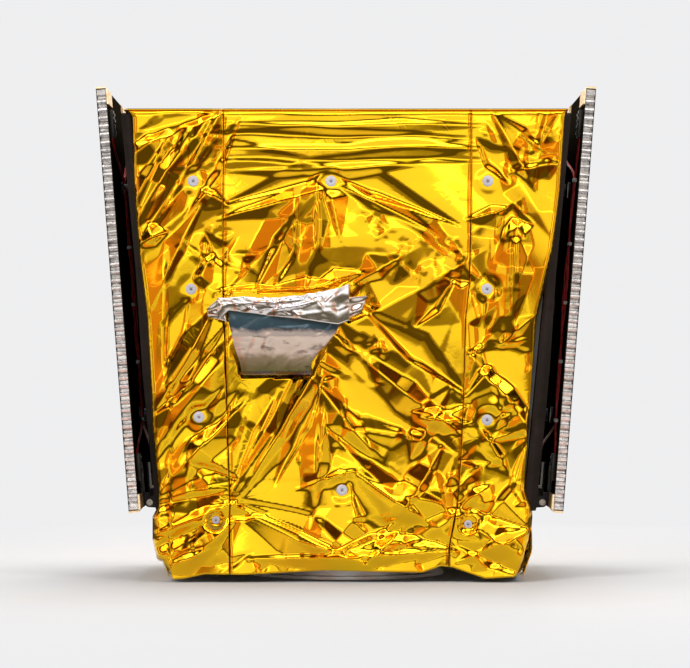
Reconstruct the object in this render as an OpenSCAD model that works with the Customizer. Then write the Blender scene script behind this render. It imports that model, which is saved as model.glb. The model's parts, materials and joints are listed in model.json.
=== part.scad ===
// Small satellite with a tapered body wrapped in film blankets and two hinged solar wings.
// Millimetres. +Z up, +X to the right, the sensor side faces -Y.
// The origin is on the floor, under the middle of the body.

/* [Body] */
// Height of the base plate's underside above the floor
base_z = 60; // [40:1:90]
// Height of the top deck's upper face above the floor
top_z = 942; // [800:1:1150]
// Width of the body at the base plate's underside
base_w = 690; // [600:1:900]
// Width of the body at the top deck's upper face
top_w = 860; // [700:1:1000]
// Depth of the body, front wall to rear wall
body_d = 520; // [440:1:640]
// Thickness of the four walls
wall_t = 16; // [10:1:25]
// Thickness of the base plate and the top deck
deck_t = 20; // [14:1:30]

/* [Separation ring] */
// Diameter of the ring's bolt circle
ring_pcd = 381; // [300:1:420]
// Number of bolts in the ring's lower flange
ring_bolts = 24; // [12:1:36]
// Radius of one bolt hole
ring_hole_r = 3.35; // [2.5:0.05:5]
// Width of the ring's flanges
ring_flange_w = 25; // [20:1:36]
// Thickness of the ring's flanges and of its wall
ring_t = 6; // [4:0.5:9]

/* [Blankets] */
// Thickness of the gold blankets
film_t = 8; // [5:0.5:12]
// Thickness of the black blankets under the wings
side_film_t = 24; // [8:0.5:26]
// Overhang of the top blanket past the side walls
roof_overhang = 18; // [8:0.5:26]
// Gap between a side blanket or a skirt and the wall behind it
film_gap = 0.3; // [0.2:0.1:1]
// Height of the front and rear blankets' lower hems above the floor
hem_z = 14; // [8:1:40]
// Height of the side blankets' lower edges above the floor
side_hem_z = 140; // [130:1:150]
// How far the side skirts stand out of the body's side at their widest
skirt_out = 22; // [15:1:25]
// Distance from the centreline to the seam of the two front strips, at the top
seam_top = 248; // [200:1:300]
// Distance from the centreline to the seam of the two front strips, at the hem
seam_hem = 222; // [180:1:260]
// Gap between blankets that meet at a seam
seam_gap = 1; // [0.5:0.1:2]
// Radius of a blanket button
button_r = 11; // [8:0.5:14]
// Radius of the lowest blanket buttons
low_button_r = 8; // [6:0.5:11]
// Thickness of a blanket button
button_t = 2.5; // [1.5:0.1:4]

/* [Wings] */
// Length of a wing's panel from its hinge end to its free end
panel_l = 852; // [700:1:950]
// Depth of a wing's panel along the hinge line
panel_d = 480; // [400:1:600]
// Thickness of a wing's panel, skins and core together
panel_t = 20; // [15:0.5:26]
// Thickness of one skin
skin_t = 0.8; // [0.5:0.1:1.5]
// Thickness of a solar cell
cell_t = 1; // [0.6:0.1:2]
// Number of solar cells along a wing
cells_long = 10; // [6:1:12]
// Number of solar cells across a wing
cells_across = 6; // [4:1:8]
// Gap between solar cells
cell_gap = 3; // [2:0.5:6]
// Bare edge round the solar cells
cell_edge = 12; // [8:1:25]
// Outward lean of a stowed wing, in degrees from upright
wing_lean = 4.5; // [3:0.1:6]

/* [Hinges] */
// How far the hinge axes stand out of the body's sides
hinge_reach = 48; // [44:0.5:56]
// Height of the hinge axes above the floor
hinge_z = 153; // [148:0.5:160]
// Distance of a hinge from the middle of the body, along the axis
hinge_y = 110; // [90:1:125]
// Radius of a hinge pin
pin_r = 4; // [3:0.25:5]
// Running clearance round a hinge pin
pin_gap = 0.05; // [0.02:0.01:0.08]
// Outer radius of a hinge's ears and barrel
ear_r = 10; // [8:0.5:12]
// Thickness of an ear
ear_t = 8; // [6:0.5:12]
// Width of the hinge barrel
barrel_w = 20; // [14:1:30]
// Clearance at each end of the hinge barrel
barrel_gap = 0.5; // [0.3:0.1:1]
// Clearance between moving and fixed pieces
move_gap = 5.5; // [5:0.5:8]
// Radius of a hold-down post
post_r = 13; // [10:0.5:18]
// Radius of the cup on the wing that faces a post
cup_r = 17; // [14:0.5:22]
// Height of the hold-down posts' axes above the floor
post_heights = [330, 800];

/* [Corner brackets] */
// Thickness of a corner bracket
bracket_t = 4; // [3:0.5:5]
// Length of a corner bracket's leg on the wing's inner face
bracket_leg = 32; // [24:1:45]
// Depth of a corner bracket along the panel's end
bracket_d = 95; // [60:1:105]
// Chamfer on a corner bracket's outer corner
bracket_chamfer = 7; // [4:0.5:8]

/* [Harness] */
// Radius of a wire bundle on a wing's inner face
wire_r = 3; // [2:0.5:4]
// Height of the terminal blocks on a wing's inner face
block_t = 10; // [8:0.5:12]

/* [Sensor] */
// Distance of the sensor housing's middle from the centreline, at its upper edge
sensor_x = -118; // [-150:1:-80]
// Width of the sensor housing at its upper edge
sensor_w = 226; // [180:1:250]
// Width of the sensor housing at its lower edge
sensor_low_w = 150; // [110:1:170]
// Height of the sensor housing's upper edge above the floor
sensor_top_z = 578; // [540:1:620]
// Height of the sensor housing's lower edge above the floor
sensor_low_z = 414; // [380:1:450]
// How far the housing stands out of the front wall at its upper edge
sensor_out = 78; // [60:1:100]
// How far the housing stands out of the front wall at its lower edge
sensor_low_out = 30; // [24:1:45]
// Thickness of the folded collar at the housing's upper edge
collar_t = 9; // [6:0.5:14]
// Height of the folded collar
collar_h = 46; // [30:1:60]
// Clearance between the sensor housing and the front blanket
sensor_gap = 2; // [1:0.5:4]

/* [Hidden] */
$fn = 96;
eps = 0.01;

front_y = -body_d / 2;
side_slope = (top_w - base_w) / 2 / (top_z - base_z);
roof_z = top_z + film_t;
hinge_x = half_at(hinge_z, hinge_reach);
panel_x = ear_r + move_gap;                 // wing frame: hinge axis to the panel's inner face
panel_low = -ear_r;                         // wing frame: the panel's hinge end
panel_high = panel_low + panel_l;
foot_t = 6;
foot_w = barrel_w + 2 * ear_t + 8;
foot_low = hinge_z - 13;
foot_high = hinge_z + 37;
leaf_t = 4;
leaf_l = 60;
leaf_w = 60;
cup_t = 4;
terminal_l = 60;
terminal_w = 24;
// [x, height above the floor, radius] of each button on a face
button_places = [
    [-306, 802, button_r], [-310, 586, button_r], [-294, 330, button_r], [-260, 124, low_button_r],
    [284, 802, button_r], [282, 586, button_r], [282, 324, button_r], [244, 116, low_button_r],
    [-30, 802, button_r], [-8, 184, button_r],
];

// Half the body's width at a height, and the same line moved outwards by t.
function half_at(z, t = 0) = base_w / 2 + (z - base_z) * side_slope + t;
function seam_at(z) = seam_hem + (z - hem_z) * (seam_top - seam_hem) / (roof_z - hem_z);

// An outline in X and Z, made solid from y0 towards +Y.
module slab(outline, y0, depth)
    translate([0, y0 + depth, 0]) rotate([90, 0, 0]) linear_extrude(depth) polygon(outline);

// The body's tapered outline between two heights, t wider on each side.
function body_outline(z0, z1, t = 0) =
    [[-half_at(z0, t), z0], [half_at(z0, t), z0], [half_at(z1, t), z1], [-half_at(z1, t), z1]];

// A strip along the body's right side between two heights, from t0 to t1 outside it.
function side_outline(z0, z1, t0, t1) =
    [[half_at(z0, t0), z0], [half_at(z0, t1), z0], [half_at(z1, t1), z1], [half_at(z1, t0), z1]];

// side is 1 for the right and -1 for the left.
module on_side(side)
    if (side > 0) children();
    else mirror([1, 0, 0]) children();

// The wing's own frame: origin on the hinge axis, X outwards through the panel, Z towards its free end.
module in_wing(side)
    on_side(side) translate([hinge_x, 0, hinge_z]) rotate([0, wing_lean, 0]) children();

module y_cylinder(r, length)
    rotate([90, 0, 0]) cylinder(r = r, h = length, center = true);

// ---------- body structure ----------

// The separation ring: a short tube with a bolted flange at each end.
module ring_flange(z)
    color("silver") translate([0, 0, z]) difference() {
        cylinder(r = ring_pcd / 2 + ring_flange_w / 2, h = ring_t);
        translate([0, 0, -1]) cylinder(r = ring_pcd / 2 - ring_flange_w / 2, h = ring_t + 2);
        for (i = [0 : ring_bolts - 1]) rotate(i * 360 / ring_bolts)
            translate([ring_pcd / 2, 0, -1]) cylinder(r = ring_hole_r, h = ring_t + 2);
    }

module ring_wall()
    color("silver") difference() {
        cylinder(r = ring_pcd / 2 - ring_flange_w / 2, h = base_z);
        translate([0, 0, -1]) cylinder(r = ring_pcd / 2 - ring_flange_w / 2 - ring_t, h = base_z + 2);
    }

module base_plate()
    color("dimgray") slab(body_outline(base_z, base_z + deck_t), front_y, body_d);

module top_deck()
    color("dimgray") slab(body_outline(top_z - deck_t, top_z), front_y, body_d);

module end_wall(y0)
    color("dimgray") slab(body_outline(base_z + deck_t, top_z - deck_t), y0, wall_t);

module front_wall() end_wall(front_y);

module rear_wall() end_wall(-front_y - wall_t);

module side_wall(side)
    color("dimgray") on_side(side)
        slab(side_outline(base_z + deck_t, top_z - deck_t, -wall_t, 0), front_y + wall_t, body_d - 2 * wall_t);

module equipment_block()
    color("gray") translate([-190, -150, base_z + deck_t]) cube([380, 300, 360]);

// ---------- blankets ----------

module sensor_cut()
    slab(sensor_outline(sensor_gap), front_y - film_t - 1, film_t + 2);

module front_blanket(side) {
    z0 = hem_z;
    z1 = top_z;
    in0 = seam_at(z0) + seam_gap / 2;
    in1 = seam_at(z1) + seam_gap / 2;
    color("gold") on_side(side) slab([[in0, z0], [half_at(z0, film_t), z0], [half_at(z1, film_t), z1],
        [in1, z1]], front_y - film_t, film_t);
}

module centre_blanket(y0) {
    in0 = seam_at(hem_z) - seam_gap / 2;
    in1 = seam_at(top_z) - seam_gap / 2;
    color("gold") slab([[-in0, hem_z], [in0, hem_z], [in1, top_z], [-in1, top_z]], y0, film_t);
}

module front_blanket_centre()
    difference() {
        centre_blanket(front_y - film_t);
        sensor_cut();
    }

module front_blanket_strip(side)
    difference() {
        front_blanket(side);
        sensor_cut();
    }

module rear_blanket_centre() centre_blanket(-front_y);

module rear_blanket_strip(side)
    translate([0, body_d + film_t, 0]) front_blanket(side);

module top_blanket()
    color("gold") slab(body_outline(top_z, roof_z, roof_overhang), front_y - film_t, body_d + 2 * film_t);

module side_blanket(side)
    color("black") on_side(side) difference() {
        slab(side_outline(side_hem_z, top_z, film_gap, side_film_t), front_y, body_d);
        for (y = [-hinge_y, hinge_y])
            translate([hinge_x - 100, y - foot_w / 2 - 1, foot_low - 1])
                cube([120, foot_w + 2, foot_high - foot_low + 2]);
        for (z = post_heights)
            translate([0, 0, z]) rotate([0, 90, 0]) cylinder(r = post_r + 1, h = top_w);
    }

// The skirt hangs round the base plate's edge below the wing, and bellies out.
module side_skirt(side) {
    top = side_hem_z - 2;
    color("gold") on_side(side) slab([[half_at(top, film_gap), top], [half_at(top, skirt_out - 8), top],
        [half_at(top, skirt_out), top - 14], [half_at(base_z, skirt_out + 6), base_z],
        [half_at(base_z, skirt_out - 4), hem_z + 8], [half_at(base_z, skirt_out - 12), hem_z + 8],
        [half_at(base_z, film_gap), base_z]], front_y, body_d);
}

// Buttons hold the blankets to the walls, front and rear alike.
module blanket_buttons()
    color("lightgray") for (face = [0, 180], place = button_places)
        rotate(face) translate([place[0], front_y - film_t, place[1]])
            rotate([90, 0, 0]) cylinder(r = place[2], h = button_t);

// ---------- sensor ----------

function sensor_outline(grow = 0) =
    [[sensor_x - sensor_w / 2 - grow, sensor_top_z + grow], [sensor_x + sensor_w / 2 + grow, sensor_top_z + grow],
     [sensor_x + sensor_low_w / 2 - 22 + grow, sensor_low_z - grow],
     [sensor_x - sensor_low_w / 2 - 22 - grow, sensor_low_z - grow]];

// A straight-sided housing, deep at its upper edge and shallow at its lower edge.
module sensor_housing()
    color("silver") intersection() {
        slab(sensor_outline(), front_y - sensor_out, sensor_out);
        translate([sensor_x - sensor_w, 0, 0]) rotate([90, 0, 90]) linear_extrude(2 * sensor_w)
            polygon([[front_y, sensor_low_z], [front_y, sensor_top_z], [front_y - sensor_out, sensor_top_z],
                [front_y - sensor_out, sensor_top_z - 60], [front_y - sensor_low_out, sensor_low_z]]);
    }

// The film folded over the housing's upper edge, with an ear at each end.
module sensor_collar() {
    half = sensor_w / 2;
    low = sensor_top_z - collar_h;
    color("silver") {
        translate([sensor_x - half - 16, front_y - sensor_out, sensor_top_z])
            cube([2 * half + 32, sensor_out - film_t - 1, collar_t]);
        translate([sensor_x - half - 16, front_y - sensor_out - collar_t, low + 12])
            cube([2 * half + 32, collar_t, collar_h - 12 + collar_t]);
    }
}

// ---------- fixed half of the hinges ----------

module hinge_bracket(y) {
    ear = [[half_at(foot_low, foot_t - eps), foot_low], [hinge_x, hinge_z - ear_r], [hinge_x, hinge_z + ear_r],
        [half_at(foot_high, foot_t - eps), foot_high]];
    difference() {
        union() {
            slab(side_outline(foot_low, foot_high, 0, foot_t), y - foot_w / 2, foot_w);
            for (side = [-1, 1]) translate([0, y + side * (barrel_w + ear_t) / 2, 0]) {
                slab(ear, -ear_t / 2, ear_t);
                translate([hinge_x, 0, hinge_z]) y_cylinder(ear_r, ear_t);
            }
        }
        translate([hinge_x, y, hinge_z]) y_cylinder(pin_r + pin_gap, barrel_w + 4 * ear_t);
    }
}

module hinge_brackets(side)
    color("silver") on_side(side) for (y = [-hinge_y, hinge_y]) hinge_bracket(y);

module hinge_pins(side) {
    length = barrel_w + 2 * ear_t + 0.4;
    color("gainsboro") on_side(side) for (y = [-hinge_y, hinge_y]) translate([hinge_x, y, hinge_z]) {
        y_cylinder(pin_r, length);
        for (end = [-1, 1]) translate([0, end * (length + 3) / 2, 0]) y_cylinder(pin_r + 2.5, 3);
    }
}

// Posts that the stowed wing is clamped against.
module hold_down_posts(side)
    color("gray") on_side(side) difference() {
        for (z = post_heights) translate([half_at(z, -wall_t), 0, z]) rotate([0, 90, 0])
            cylinder(r = post_r, h = wing_inner_x(z) - cup_t - move_gap - half_at(z, -wall_t));
        slab(body_outline(base_z, top_z), front_y, body_d);
    }

// X of the stowed wing's inner face at a height.
function wing_inner_x(z) =
    hinge_x + panel_x * cos(wing_lean) + (z - hinge_z + panel_x * sin(wing_lean)) * tan(wing_lean);

// ---------- wings ----------

// A plate of the wing between two distances from the hinge axis, inset from the panel's edges.
module wing_plate(x0, t, inset = 0)
    translate([x0, -panel_d / 2 + inset, panel_low + inset])
        cube([t, panel_d - 2 * inset, panel_l - 2 * inset]);

module wing_core(side)
    color("silver") in_wing(side) wing_plate(panel_x + skin_t, panel_t - 2 * skin_t);

module wing_inner_skin(side)
    color("black") in_wing(side) wing_plate(panel_x, skin_t);

module wing_outer_skin(side)
    color("black") in_wing(side) wing_plate(panel_x + panel_t - skin_t, skin_t);

module solar_cells(side) {
    pitch_z = (panel_l - 2 * cell_edge + cell_gap) / cells_long;
    pitch_y = (panel_d - 2 * cell_edge + cell_gap) / cells_across;
    color("midnightblue") in_wing(side)
        for (i = [0 : cells_long - 1], j = [0 : cells_across - 1])
            translate([panel_x + panel_t, -panel_d / 2 + cell_edge + j * pitch_y,
                    panel_low + cell_edge + i * pitch_z])
                cube([cell_t, pitch_y - cell_gap, pitch_z - cell_gap]);
}

// An angle round the edge of the panel's end: one leg over the end, one on the inner face.
// up is 1 at the free end and -1 at the hinge end.
module corner_bracket(up) {
    end = up > 0 ? panel_high : panel_low;
    c = bracket_chamfer;
    t = bracket_t;
    x0 = panel_x - t;
    x1 = panel_x + panel_t;
    for (y = [-panel_d / 2, panel_d / 2 - bracket_d])
        slab([[x0, end - up * bracket_leg], [panel_x, end - up * bracket_leg], [panel_x, end], [x1, end],
            [x1, end + up * t], [x0 + c, end + up * t], [x0, end + up * (t - c)]], y, bracket_d);
}

module top_brackets(side)
    color("wheat") in_wing(side) corner_bracket(1);

module bottom_brackets(side)
    color("wheat") in_wing(side) corner_bracket(-1);

module hinge_leaf(y) {
    width = barrel_w - 2 * barrel_gap;
    translate([0, y, 0]) difference() {
        union() {
            y_cylinder(ear_r, width);
            translate([0, -width / 2, -ear_r * 0.6]) cube([panel_x, width, ear_r * 0.6 + leaf_l / 3]);
            translate([panel_x - leaf_t, -leaf_w / 2, ear_r + move_gap]) cube([leaf_t, leaf_w, leaf_l]);
        }
        y_cylinder(pin_r + pin_gap, barrel_w * 2);
    }
}

module hinge_leaves(side)
    color("silver") in_wing(side) for (y = [-hinge_y, hinge_y]) hinge_leaf(y);

module hold_down_cups(side)
    color("gray") in_wing(side) for (z = post_heights)
        translate([panel_x - cup_t, 0, (z - hinge_z + panel_x * sin(wing_lean)) / cos(wing_lean)])
            rotate([0, 90, 0]) cylinder(r = cup_r, h = cup_t);

harness_y = [-panel_d / 2 + 42, panel_d / 2 - 42];
harness_low = 46;
harness_high = panel_high - bracket_leg - terminal_l - 8;

module wing_harness(side)
    color("firebrick") in_wing(side) for (y = harness_y)
        translate([panel_x - wire_r - 0.3, y, harness_low + terminal_l])
            cylinder(r = wire_r, h = harness_high - harness_low - terminal_l);

module terminal_blocks(side)
    color("ivory") in_wing(side) for (y = harness_y, z = [harness_low, harness_high])
        translate([panel_x - block_t, y - terminal_w / 2, z]) cube([block_t, terminal_w, terminal_l]);

// ---------- nodes ----------

ring_flange(0);  // ring_lower_flange
ring_wall();
ring_flange(base_z - ring_t);  // ring_upper_flange
base_plate();
top_deck();
front_wall();
rear_wall();
side_wall(-1);  // left_wall
side_wall(1);  // right_wall
equipment_block();
front_blanket_strip(-1);  // front_blanket_left
front_blanket_centre();
front_blanket_strip(1);  // front_blanket_right
rear_blanket_strip(-1);  // rear_blanket_left
rear_blanket_centre();
rear_blanket_strip(1);  // rear_blanket_right
top_blanket();
side_blanket(-1);  // left_side_blanket
side_blanket(1);  // right_side_blanket
side_skirt(-1);  // left_skirt
side_skirt(1);  // right_skirt
blanket_buttons();
sensor_housing();
sensor_collar();
hinge_brackets(-1);  // left_hinge_brackets
hinge_brackets(1);  // right_hinge_brackets
hinge_pins(-1);  // left_hinge_pins
hinge_pins(1);  // right_hinge_pins
hold_down_posts(-1);  // left_hold_down_posts
hold_down_posts(1);  // right_hold_down_posts
wing_core(-1);  // left_wing_core
wing_core(1);  // right_wing_core
wing_inner_skin(-1);  // left_wing_inner_skin
wing_inner_skin(1);  // right_wing_inner_skin
wing_outer_skin(-1);  // left_wing_outer_skin
wing_outer_skin(1);  // right_wing_outer_skin
solar_cells(-1);  // left_solar_cells
solar_cells(1);  // right_solar_cells
top_brackets(-1);  // left_top_brackets
top_brackets(1);  // right_top_brackets
bottom_brackets(-1);  // left_bottom_brackets
bottom_brackets(1);  // right_bottom_brackets
hinge_leaves(-1);  // left_hinge_leaves
hinge_leaves(1);  // right_hinge_leaves
hold_down_cups(-1);  // left_hold_down_cups
hold_down_cups(1);  // right_hold_down_cups
wing_harness(-1);  // left_wing_harness
wing_harness(1);  // right_wing_harness
terminal_blocks(-1);  // left_terminal_blocks
terminal_blocks(1);  // right_terminal_blocks
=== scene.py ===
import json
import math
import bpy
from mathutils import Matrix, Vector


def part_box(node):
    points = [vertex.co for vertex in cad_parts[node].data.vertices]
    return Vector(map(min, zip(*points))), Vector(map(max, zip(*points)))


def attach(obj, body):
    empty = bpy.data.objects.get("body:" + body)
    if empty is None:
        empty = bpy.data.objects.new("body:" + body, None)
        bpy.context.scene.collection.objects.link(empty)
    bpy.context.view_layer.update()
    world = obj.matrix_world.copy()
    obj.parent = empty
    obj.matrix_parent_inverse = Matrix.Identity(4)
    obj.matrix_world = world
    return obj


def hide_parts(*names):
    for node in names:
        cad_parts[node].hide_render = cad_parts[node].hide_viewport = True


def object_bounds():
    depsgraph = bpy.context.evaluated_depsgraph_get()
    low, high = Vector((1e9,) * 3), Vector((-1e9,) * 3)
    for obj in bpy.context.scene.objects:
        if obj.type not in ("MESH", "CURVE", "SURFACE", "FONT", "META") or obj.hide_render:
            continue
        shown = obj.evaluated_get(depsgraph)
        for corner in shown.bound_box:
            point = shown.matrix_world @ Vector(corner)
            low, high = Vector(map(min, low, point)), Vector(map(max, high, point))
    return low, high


bl_info = {
    "name": "Film-wrapped satellite",
    "version": (1, 0, 0),
    "blender": (4, 5, 0),
    "location": "3D View > Sidebar > Satellite",
    "description": "Crinkled film blankets, foil honeycomb wings and studio for a small satellite",
    "category": "Add Mesh",
}

import bmesh
import bpy
import numpy as np
from mathutils import Matrix, Vector

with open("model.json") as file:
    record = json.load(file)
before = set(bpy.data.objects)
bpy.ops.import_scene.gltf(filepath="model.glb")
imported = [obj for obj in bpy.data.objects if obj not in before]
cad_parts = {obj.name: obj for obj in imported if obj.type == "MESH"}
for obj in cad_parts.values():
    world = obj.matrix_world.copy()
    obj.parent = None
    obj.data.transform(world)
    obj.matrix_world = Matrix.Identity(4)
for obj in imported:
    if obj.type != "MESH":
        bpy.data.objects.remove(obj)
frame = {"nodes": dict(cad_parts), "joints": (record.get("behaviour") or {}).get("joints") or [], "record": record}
CAD_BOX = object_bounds()

# ---------- places taken from the frame, in metres ----------

FRONT_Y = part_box("front_wall")[0].y
REAR_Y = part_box("rear_wall")[1].y
BASE_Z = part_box("base_plate")[0].z
DECK_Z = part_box("top_deck")[1].z
ROOF_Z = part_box("top_blanket")[1].z
FILM_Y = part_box("front_blanket_centre")[0].y
FILM = FRONT_Y - FILM_Y
DECK_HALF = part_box("top_deck")[1].x
BASE_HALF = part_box("base_plate")[1].x - 0.002
SIDE_HEM_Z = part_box("left_side_blanket")[0].z
HINGE = {j["child"]: Vector(j["pos_m"]) for j in frame["joints"]}
WING_HALF_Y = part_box("right_wing_core")[1].y
SENSOR_LOW, SENSOR_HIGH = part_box("sensor_housing")
SIDE_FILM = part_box("right_side_blanket")[1].x - DECK_HALF


def half_at(z):
    """Half the body's width at a height."""
    return BASE_HALF + (z - BASE_Z) * (DECK_HALF - BASE_HALF) / (DECK_Z - BASE_Z)


# ---------- settings ----------


class BlanketSettings(bpy.types.PropertyGroup):
    gold: bpy.props.FloatVectorProperty(
        name="Gold", description="Colour of the gold film", subtype="COLOR", default=(1.0, 0.62, 0.004)
    )
    silver: bpy.props.FloatVectorProperty(
        name="Silver", description="Colour of the silver film", subtype="COLOR", default=(0.90, 0.90, 0.96)
    )
    black: bpy.props.FloatVectorProperty(
        name="Black", description="Colour of the side film", subtype="COLOR", default=(0.005, 0.0035, 0.003)
    )
    step: bpy.props.FloatProperty(
        name="Step", description="Grid step of a blanket's mesh",
        default=0.0036, min=0.003, max=0.02, unit="LENGTH"
    )
    thickness: bpy.props.FloatProperty(
        name="Thickness", description="Thickness of the film stack at its edges",
        default=0.0012, unit="LENGTH"
    )


class WingSettings(bpy.types.PropertyGroup):
    lean: bpy.props.FloatProperty(
        name="Lean", description="Outward lean of a stowed wing", default=math.radians(4.5), subtype="ANGLE"
    )
    panel_x: bpy.props.FloatProperty(
        name="Standoff", description="Hinge axis to the panel's inner face", default=0.0155, unit="LENGTH"
    )
    low: bpy.props.FloatProperty(
        name="Low end", description="Panel's hinge end, measured from the hinge axis",
        default=-0.010, unit="LENGTH"
    )
    length: bpy.props.FloatProperty(name="Length", description="Panel's length", default=0.852, unit="LENGTH")
    skin: bpy.props.FloatProperty(name="Skin", description="Thickness of one skin",
                                  default=0.0008, unit="LENGTH")
    thickness: bpy.props.FloatProperty(
        name="Thickness", description="Thickness of the whole panel", default=0.020, unit="LENGTH"
    )
    cell: bpy.props.FloatProperty(
        name="Cell pitch", description="Distance between ribs on the cut edge", default=0.0165, unit="LENGTH"
    )
    cell_depth: bpy.props.FloatProperty(
        name="Cell depth", description="Depth of a cut cell", default=0.012, unit="LENGTH"
    )


class StageSettings(bpy.types.PropertyGroup):
    distance: bpy.props.FloatProperty(
        name="Distance", description="Camera to the front of the body", default=5.8, unit="LENGTH"
    )
    height: bpy.props.FloatProperty(
        name="Height", description="Camera's height above the floor", default=0.43, unit="LENGTH"
    )
    frame_width: bpy.props.FloatProperty(
        name="Frame width", description="Width seen at the front of the body", default=1.38, unit="LENGTH"
    )
    aim_height: bpy.props.FloatProperty(
        name="Aim height", description="Height in the middle of the view", default=0.496, unit="LENGTH"
    )
    floor: bpy.props.FloatVectorProperty(
        name="Floor", description="Colour of the floor and the background", subtype="COLOR",
        default=(0.86, 0.86, 0.87)
    )


def blankets():
    return bpy.context.scene.satellite_blankets


def wings():
    return bpy.context.scene.satellite_wings


def studio():
    return bpy.context.scene.satellite_stage


# ---------- materials ----------


class Shader:
    """A material's node tree with one Principled shader, built a node at a time."""

    def __init__(self, name, **sockets):
        self.material = bpy.data.materials.new(name)
        self.material.use_nodes = True
        self.nodes = self.material.node_tree.nodes
        self.links = self.material.node_tree.links
        self.surface = self.nodes["Principled BSDF"]
        for socket, value in sockets.items():
            self.set(self.surface, socket.replace("_", " "), value)

    def set(self, node, socket, value):
        if hasattr(value, "__len__") and len(value) == 3 and node.inputs[socket].type == "RGBA":
            value = (*value, 1.0)
        node.inputs[socket].default_value = value

    def node(self, kind, **values):
        made = self.nodes.new(kind)
        for key, value in values.items():
            if key in made.bl_rna.properties:
                setattr(made, key, value)
            else:
                self.set(made, key.replace("_", " "), value)
        return made

    def link(self, a, output, b, socket):
        self.links.new(a.outputs[output], b.inputs[socket])

    def place(self, scale=(1, 1, 1), turn=(0, 0, 0)):
        """Object coordinates, scaled and turned."""
        coords = self.node("ShaderNodeTexCoord")
        mapping = self.node("ShaderNodeMapping", Scale=scale, Rotation=turn)
        self.link(coords, "Object", mapping, "Vector")
        return mapping

    def noise(self, place, scale, detail=3.0, rough=0.5, distort=0.0):
        made = self.node("ShaderNodeTexNoise", Scale=scale, Detail=detail, Roughness=rough,
                         Distortion=distort)
        self.link(place, "Vector", made, "Vector")
        return made

    def ramp(self, source, output, stops):
        """Colours or plain values by position."""
        made = self.node("ShaderNodeValToRGB")
        elements = made.color_ramp.elements
        while len(elements) < len(stops):
            elements.new(0.5)
        for element, (position, colour) in zip(elements, stops):
            element.position = position
            element.color = (*colour, 1.0) if hasattr(colour, "__len__") else (colour, colour, colour, 1.0)
        self.link(source, output, made, "Fac")
        return made

    def shade(self, source, output, stops):
        """A ramp that sets the surface's own colour."""
        self.link(self.ramp(source, output, stops), "Color", self.surface, "Base Color")

    def math(self, operation, source, output, *values):
        """A sum on one output, with the sum's other values."""
        made = self.node("ShaderNodeMath", operation=operation)
        self.link(source, output, made, 0)
        for index, value in enumerate(values, 1):
            made.inputs[index].default_value = value
        return made

    def vector(self, operation, source, output, *values):
        """The same on a vector, with a value given as one number for all its axes."""
        made = self.node("ShaderNodeVectorMath", operation=operation)
        self.link(source, output, made, 0)
        for index, value in enumerate(values, 1):
            made.inputs[index].default_value = (value, value, value)
        return made

    def axes(self, place):
        """A place's X, Y and Z on their own."""
        made = self.node("ShaderNodeSeparateXYZ")
        self.link(place, "Vector", made, "Vector")
        return made

    def push(self, place, by, amount):
        """A place moved by a noise's colour times an amount."""
        made = self.vector("MULTIPLY_ADD", by, "Color", amount)
        self.link(place, "Vector", made, 2)
        return made

    def mix(self, first, second, share=1.0, blend="MULTIPLY"):
        """Two colours mixed; each value is a ramp or a plain value."""
        made = self.node("ShaderNodeMix", data_type="RGBA", blend_type=blend)
        for index, value in ((0, share), (6, first), (7, second)):
            if isinstance(value, bpy.types.Node):
                self.links.new(value.outputs["Color"], made.inputs[index])
            else:
                made.inputs[index].default_value = value
        return made

    def bump(self, height, output, distance, strength=1.0, before=None):
        made = self.node("ShaderNodeBump", Distance=distance, Strength=strength)
        self.link(height, output, made, "Height")
        if before:
            self.link(before, "Normal", made, "Normal")
        self.link(made, "Normal", self.surface, "Normal")
        return made


def film_material(name, colour, roughness, creases, tint):
    """A metallised film under a clear layer: mirror-like, with fine creases in patches."""
    s = Shader(name, Metallic=1.0, Roughness=roughness, Coat_Weight=0.35, Coat_Roughness=0.05, Coat_IOR=1.45)
    place = s.place()
    lines = s.node("ShaderNodeTexVoronoi", feature="DISTANCE_TO_EDGE", Scale=30.0)
    s.link(s.push(place, s.noise(place, 9.0, 2.0), 0.16), "Vector", lines, "Vector")
    crease = s.ramp(lines, "Distance", [(0.0, 0.0), (0.16, 1.0)])
    patches = s.ramp(s.noise(place, 7.0, 2.0), "Fac", [(0.50, 0.0), (0.66, 1.0)])
    kept = s.mix((1, 1, 1, 1), crease, patches, "MIX")
    first = s.node("ShaderNodeBump", Distance=0.0003 * creases, Strength=0.3)
    s.link(kept, 2, first, "Height")
    s.bump(s.noise(place, 26.0, 3.0, 0.55, 0.4), "Fac", 0.0008 * creases, 0.2, before=first)
    deep = tuple(c * t for c, t in zip(colour, tint))
    s.shade(s.noise(place, 6.0, 2.0), "Fac", [(0.35, deep), (0.62, colour)])
    return s.material


def gold_film():
    return film_material("gold film", tuple(blankets().gold), 0.07, 1.0, (0.97, 0.86, 0.9))


def silver_film():
    return film_material("silver film", tuple(blankets().silver), 0.20, 0.6, (0.93, 0.94, 1.0))


def black_film():
    s = Shader("black film", Roughness=0.33, Specular_IOR_Level=0.2)
    place = s.place()
    black = tuple(blankets().black)
    s.shade(s.noise(place, 14.0, 3.0), "Fac", [(0.3, black), (0.75, tuple(3.0 * c for c in black))])
    s.bump(s.noise(place, 45.0, 4.0, 0.6, 0.8), "Fac", 0.002, 0.5)
    return s.material


def machined_metal(name, colour, roughness=0.34):
    s = Shader(name, Metallic=1.0, Roughness=roughness)
    grain = s.noise(s.place(scale=(1.0, 1.0, 14.0)), 90.0, 4.0)
    s.shade(grain, "Fac", [(0.3, tuple(0.78 * c for c in colour)), (0.7, colour)])
    s.bump(grain, "Fac", 0.0002, 0.5)
    return s.material


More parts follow.
